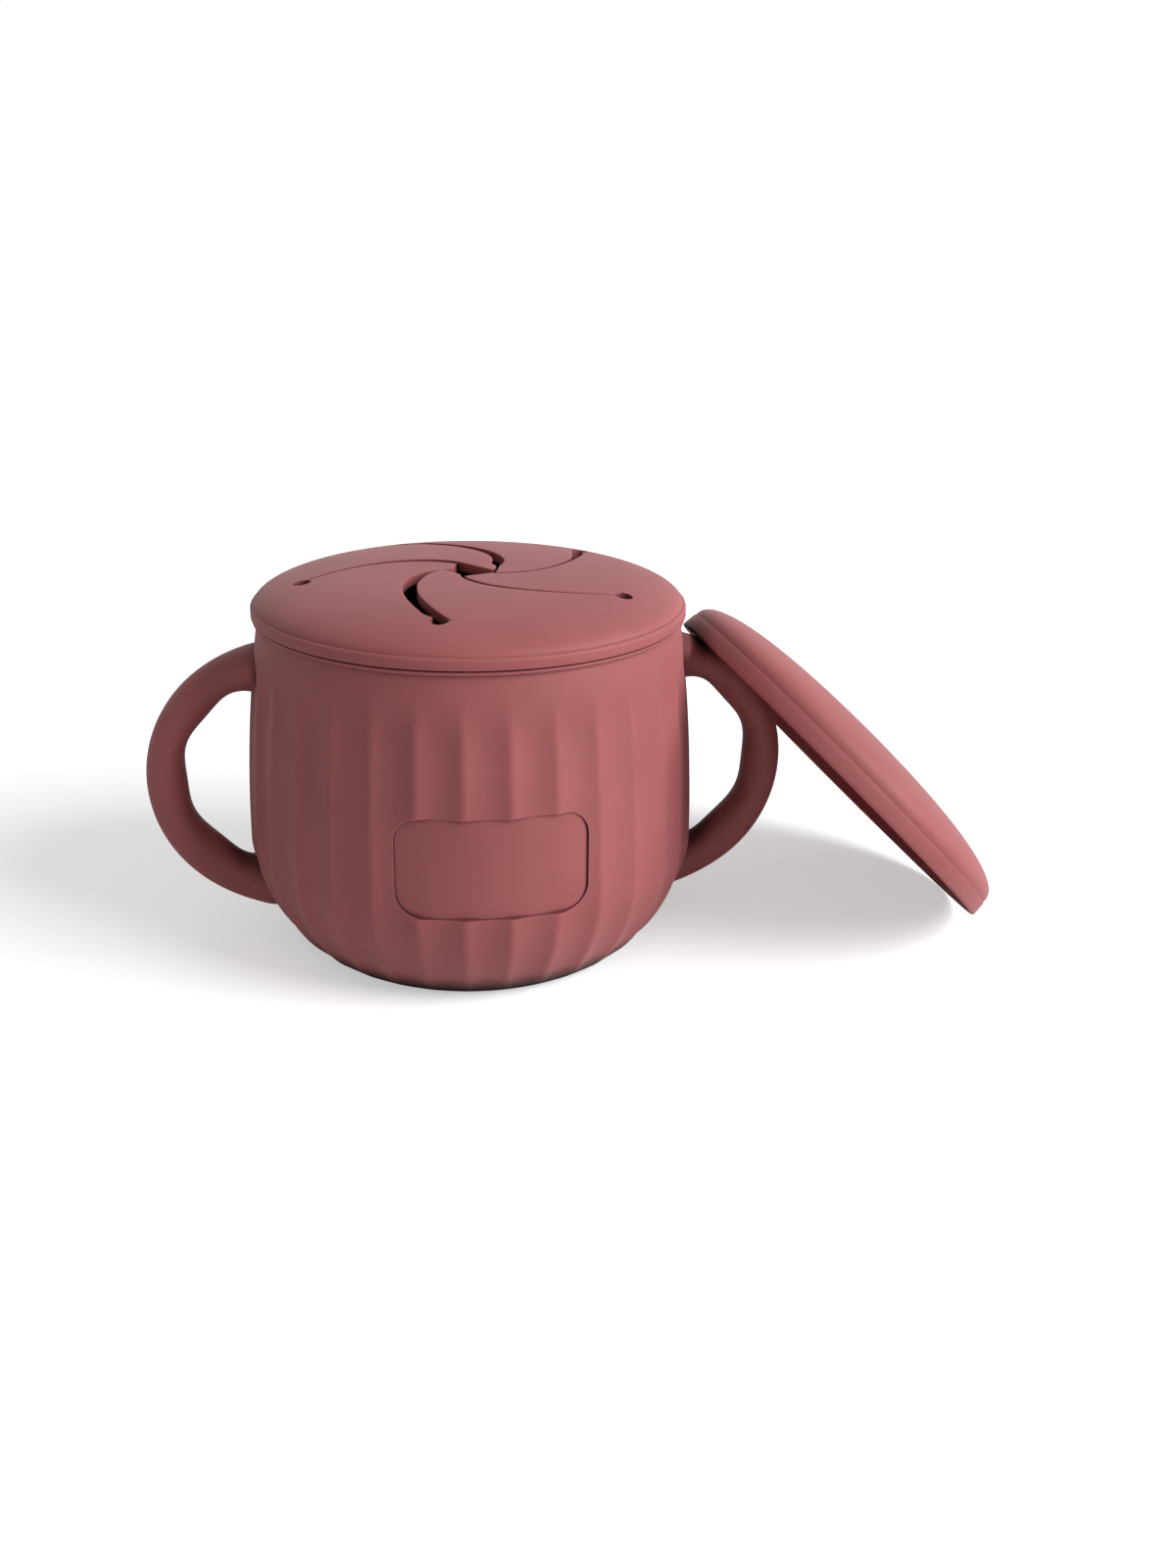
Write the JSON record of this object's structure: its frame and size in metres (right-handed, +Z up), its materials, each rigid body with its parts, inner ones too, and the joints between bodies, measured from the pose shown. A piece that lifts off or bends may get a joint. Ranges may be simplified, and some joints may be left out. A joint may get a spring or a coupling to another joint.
{
  "type": "toddler snack container",
  "caption": "Fluted silicone snack cup with side handles, a slit lid whose flaps a small hand pushes through, and a domed dust cover that leans on one handle.",
  "frame": {"origin": "centre of the cup's flat base, on the floor", "axes": "+X from the left handle to the right handle, where the dust cover leans; -Y is the front, which the plaque faces; +Z up"},
  "size_m": [0.1851, 0.0957, 0.081],
  "materials": {
    "silicone": "matte silicone"
  },
  "bodies": {
    "cup": {"cup_shell": "silicone", "handle_left": "silicone", "handle_right": "silicone"},
    "lid": {"snack_lid": "silicone"},
    "flap_1": {"flap_1": "silicone"},
    "flap_2": {"flap_2": "silicone"},
    "flap_3": {"flap_3": "silicone"},
    "flap_4": {"flap_4": "silicone"},
    "flap_5": {"flap_5": "silicone"},
    "cover": {"dust_cover": "silicone"}
  },
  "joints": [
    {"name": "lid_lift", "type": "slide", "parent": "cup", "child": "lid", "axis": [0, 0, 1], "range_m": [0, 0.06]},
    {"name": "flap_1_bend", "type": "hinge", "parent": "lid", "child": "flap_1", "pos_m": [-0.02361, 0.01504, 0.07857], "axis": [-0.5373, -0.8434, 0], "range_deg": [-50, 12], "stiffness_Nm_per_rad": 0.03},
    {"name": "flap_2_bend", "type": "hinge", "parent": "lid", "child": "flap_2", "pos_m": [-0.0216, -0.01781, 0.07857], "axis": [0.6361, -0.7716, 0], "range_deg": [-50, 12], "stiffness_Nm_per_rad": 0.03},
    {"name": "flap_3_bend", "type": "hinge", "parent": "lid", "child": "flap_3", "pos_m": [0.01026, -0.02604, 0.07857], "axis": [0.9304, 0.3665, 0], "range_deg": [-50, 12], "stiffness_Nm_per_rad": 0.03},
    {"name": "flap_4_bend", "type": "hinge", "parent": "lid", "child": "flap_4", "pos_m": [0.02794, 0.00171, 0.07857], "axis": [-0.061, 0.9981, 0], "range_deg": [-50, 12], "stiffness_Nm_per_rad": 0.03},
    {"name": "flap_5_bend", "type": "hinge", "parent": "lid", "child": "flap_5", "pos_m": [0.00701, 0.0271, 0.07857], "axis": [-0.9681, 0.2504, 0], "range_deg": [-50, 12], "stiffness_Nm_per_rad": 0.03},
    {"name": "cover_lift", "type": "slide", "parent": "cup", "child": "cover", "axis": [0.7135, 0.0562, 0.6984], "range_m": [0, 0.1]}
  ]
}
